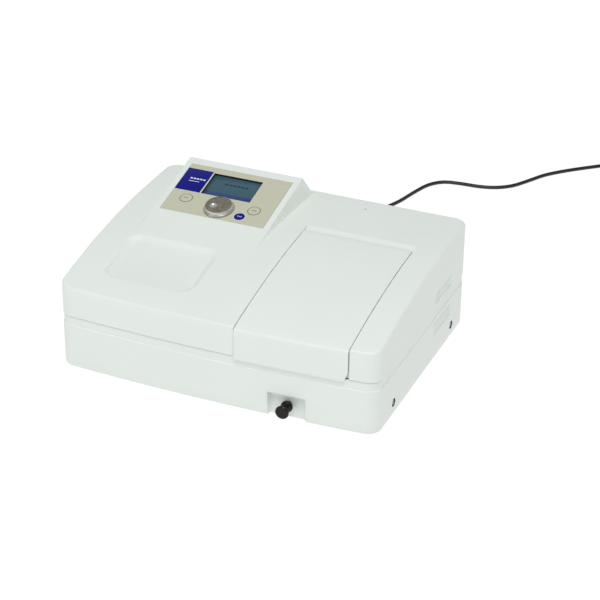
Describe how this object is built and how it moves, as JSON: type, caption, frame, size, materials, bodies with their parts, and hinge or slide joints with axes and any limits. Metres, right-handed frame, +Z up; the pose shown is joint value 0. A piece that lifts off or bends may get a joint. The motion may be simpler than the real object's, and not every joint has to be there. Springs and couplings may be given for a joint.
{
  "type": "spectrophotometer",
  "caption": "Benchtop spectrophotometer with a tilted control console, a hinged sample lid and a pull-rod cell changer.",
  "frame": {"origin": "middle of the footprint of the instrument without its lead, on the surface its feet stand on", "axes": "+X to the user's right, +Y from the front to the back, +Z up"},
  "size_m": [0.628, 1.0504, 0.1963],
  "materials": {
    "cover_white": "textured",
    "panel_beige": "satin",
    "label_blue": "satin",
    "lcd_grey": "gloss",
    "satin_silver": "satin",
    "steel": "satin",
    "cast_alloy": "cast",
    "black_paint": "matte",
    "black_plastic": "satin",
    "black_rubber": "matte",
    "clear_glass": "polished",
    "board_green": "satin",
    "mirror_coat": "polished"
  },
  "bodies": {
    "casing": {"lower_casing": "cover_white", "top_cover": "cover_white", "lid_hinge_rod": "steel", "foot_front_left": "black_rubber", "foot_front_right": "black_rubber", "foot_back_left": "black_rubber", "foot_back_right": "black_rubber", "screw_front_left": "steel", "screw_back_left": "steel", "screw_front_right": "steel", "screw_back_right": "steel", "membrane_panel": "panel_beige", "name_plate": "label_blue", "lcd_window": "lcd_grey", "lcd_module": "black_plastic", "control_board": "board_green", "dial_encoder": "cast_alloy", "sample_chamber": "black_paint", "carriage_rail": "steel", "rod_bush": "black_plastic", "chassis_plate": "cast_alloy", "monochromator_housing": "cast_alloy", "monochromator_lid": "cast_alloy", "grating_motor": "black_paint", "collimating_mirror": "mirror_coat", "exit_slit": "black_paint", "entrance_slit": "black_paint", "condenser_mirror": "mirror_coat", "lamp_house": "steel", "lamp_socket": "clear_glass", "halogen_lamp": "clear_glass", "detector_housing": "black_paint", "photodiode": "clear_glass", "main_board": "board_green", "power_supply": "cast_alloy", "mains_inlet": "black_plastic", "switch_bezel": "black_plastic", "data_port": "steel", "fan_frame": "black_plastic", "mains_cord": "black_rubber", "cord_connector": "black_plastic", "cord_coil": "black_rubber", "mains_plug": "black_plastic"},
    "lid": {"sample_lid": "cover_white"},
    "carriage": {"cell_carriage": "black_paint", "cuvette_1": "clear_glass", "cuvette_2": "clear_glass", "cuvette_3": "clear_glass", "cuvette_4": "clear_glass", "pull_rod": "steel", "pull_knob": "black_plastic"},
    "dial": {"dial_knob": "satin_silver"},
    "left_key": {"key_left": "panel_beige"},
    "right_key": {"key_right": "panel_beige"},
    "blue_key": {"key_blue": "label_blue"},
    "rocker": {"power_rocker": "black_plastic"},
    "grating": {"grating_table": "cast_alloy", "diffraction_grating": "mirror_coat"},
    "fan": {"fan_rotor": "black_plastic"}
  },
  "joints": [
    {"name": "lid_hinge", "type": "hinge", "parent": "casing", "child": "lid", "pos_m": [0.1135, 0.06085, 0.15893], "axis": [-1, 0, 0], "range_deg": [0, 80]},
    {"name": "carriage_pull", "type": "slide", "parent": "casing", "child": "carriage", "axis": [0, -1, 0], "range_m": [0, 0.06]},
    {"name": "dial_turn", "type": "hinge", "parent": "casing", "child": "dial", "pos_m": [-0.0971, 0.05987, 0.17357], "axis": [0, -0.2198, 0.9755], "continuous": true},
    {"name": "left_key_press", "type": "slide", "parent": "casing", "child": "left_key", "axis": [0, 0.2198, -0.9755], "range_m": [0, 0.0008], "stiffness_N_per_m": 900},
    {"name": "right_key_press", "type": "slide", "parent": "casing", "child": "right_key", "axis": [0, 0.2198, -0.9755], "range_m": [0, 0.0008], "stiffness_N_per_m": 900},
    {"name": "blue_key_press", "type": "slide", "parent": "casing", "child": "blue_key", "axis": [0, 0.2198, -0.9755], "range_m": [0, 0.0008], "stiffness_N_per_m": 900},
    {"name": "power_rock", "type": "hinge", "parent": "casing", "child": "rocker", "pos_m": [-0.105, 0.18485, 0.043], "axis": [0, 0, 1], "range_deg": [0, 12]},
    {"name": "grating_turn", "type": "hinge", "parent": "casing", "child": "grating", "pos_m": [-0.0785, -0.06815, 0.042], "axis": [0, 0, 1], "range_deg": [-20, 25]},
    {"name": "fan_spin", "type": "hinge", "parent": "casing", "child": "fan", "pos_m": [0.06, 0.16685, 0.0497], "axis": [0, 1, 0], "continuous": true}
  ]
}
